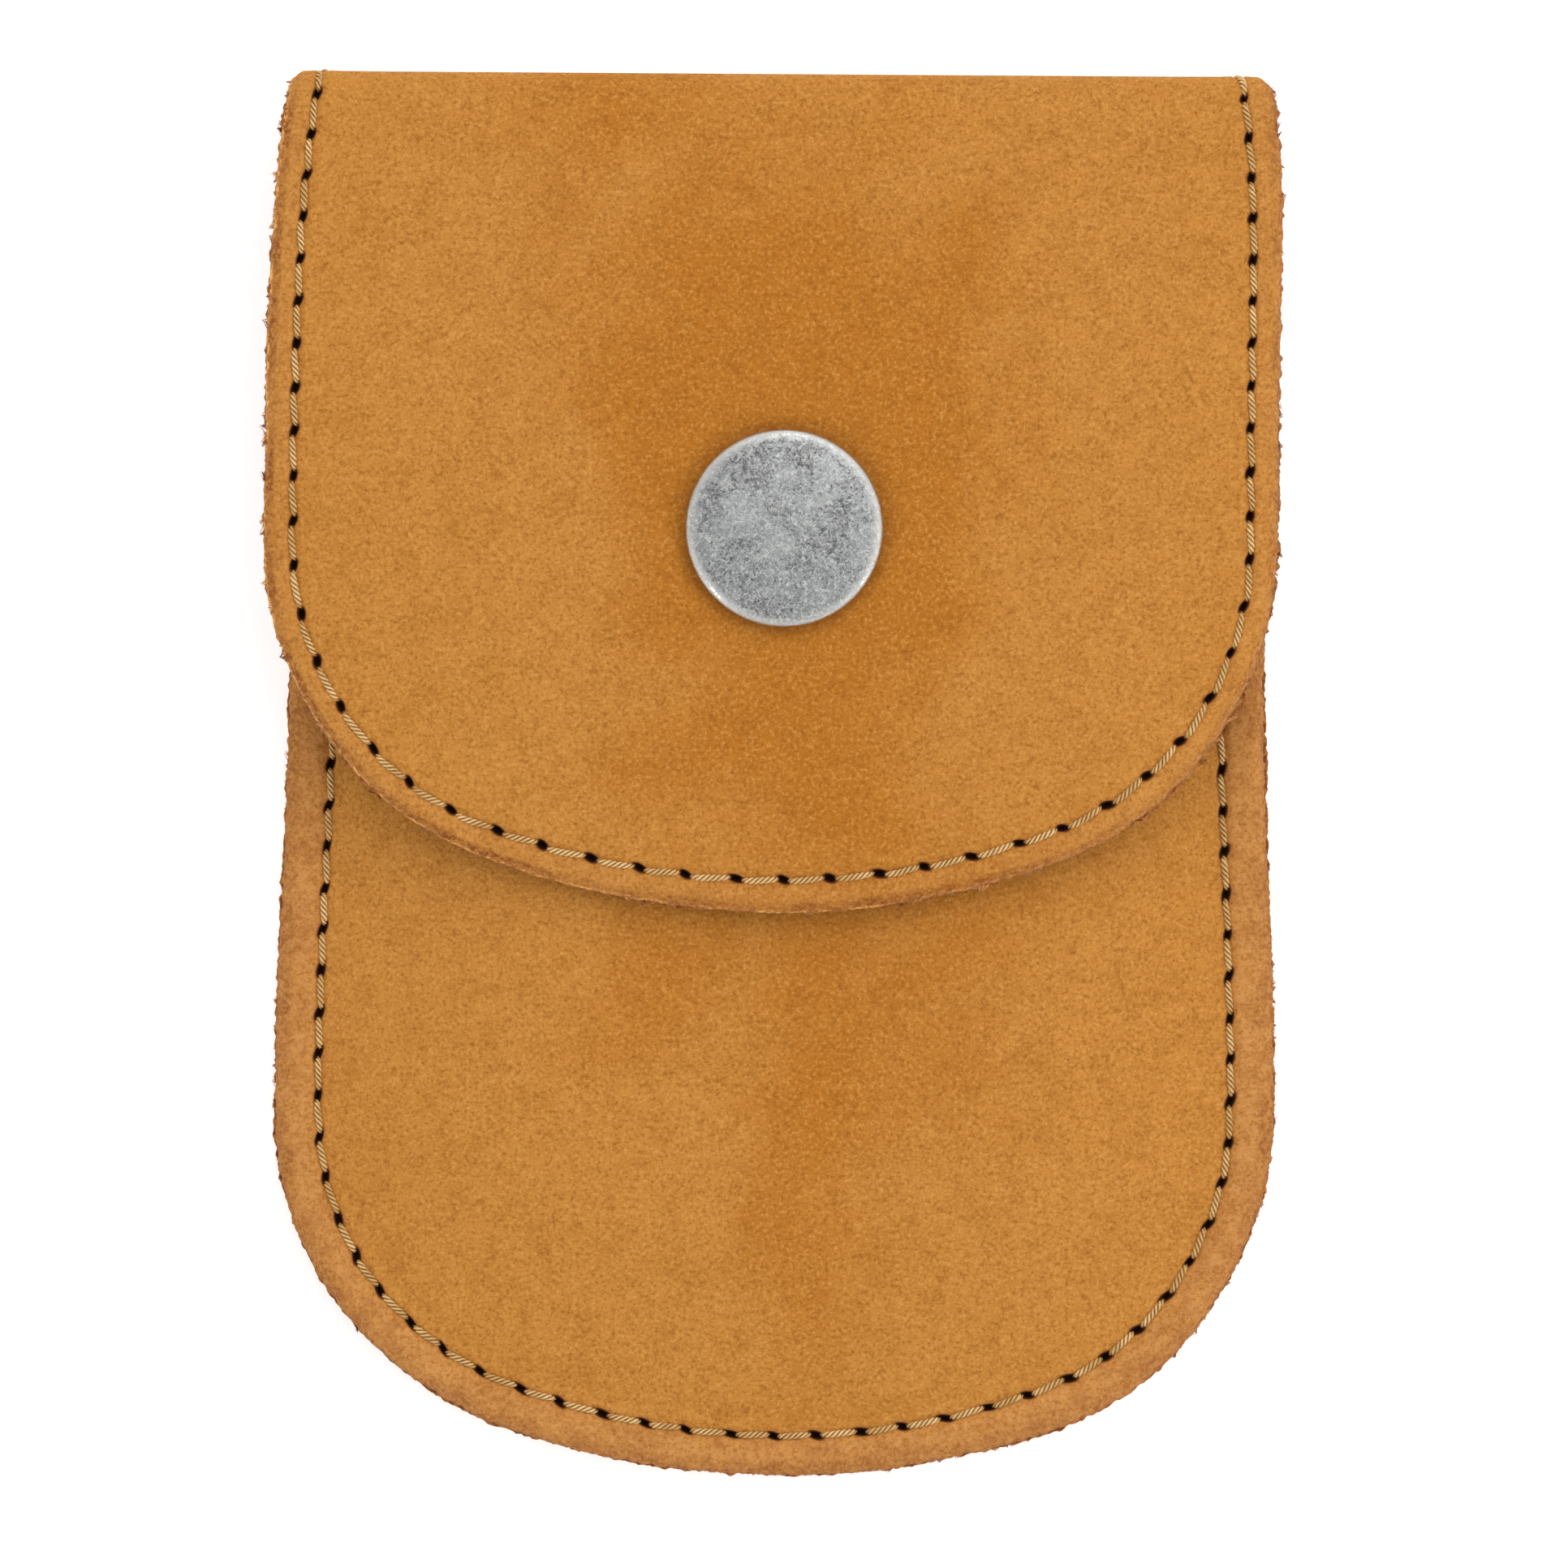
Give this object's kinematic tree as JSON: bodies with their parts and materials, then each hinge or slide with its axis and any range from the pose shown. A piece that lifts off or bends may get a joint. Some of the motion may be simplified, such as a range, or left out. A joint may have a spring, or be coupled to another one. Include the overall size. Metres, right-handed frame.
{
  "type": "leather snap pouch wallet",
  "caption": "Small flat leather pouch wallet with a rounded body, a stitched edge and a rounded flap that folds over the front and closes with a metal snap.",
  "frame": {"origin": "under the middle of the closed pouch's bounding box, on the surface it lies on", "axes": "+Z out of the front, through the flap and the snap; +Y towards the fold at the top; +X to the right seen from the front"},
  "size_m": [0.0782, 0.1068, 0.0154],
  "materials": {
    "leather": "tan nubuck, soft matte nap",
    "lining": "thin undyed suede split, matte",
    "thread": "twisted beige polyester thread",
    "antique_nickel": "antique nickel, brushed rim",
    "spring_steel": "bare spring wire"
  },
  "bodies": {
    "pouch": {"back_panel": "leather", "back_lining": "lining", "front_panel": "leather", "snap_stud": "antique_nickel", "snap_post": "antique_nickel", "body_front_thread": "thread", "body_back_thread": "thread"},
    "fold": {"fold_panel": "leather", "fold_lining": "lining", "fold_outer_thread": "thread", "fold_inner_thread": "thread"},
    "flap": {"flap_panel": "leather", "flap_lining": "lining", "snap_cap": "antique_nickel", "snap_socket": "antique_nickel", "snap_spring": "spring_steel", "flap_outer_thread": "thread", "flap_inner_thread": "thread"}
  },
  "joints": [
    {"name": "lower_crease", "type": "hinge", "parent": "pouch", "child": "fold", "pos_m": [0, 0.0524, 0.001], "axis": [-1, 0, 0], "range_deg": [0, 84]},
    {"name": "upper_crease", "type": "hinge", "parent": "fold", "child": "flap", "pos_m": [0, 0.0524, 0.00948], "axis": [-1, 0, 0], "range_deg": [0, 84]}
  ],
  "couplings": [
    {"joint": "lower_crease", "follows": "upper_crease", "ratio": 1}
  ]
}
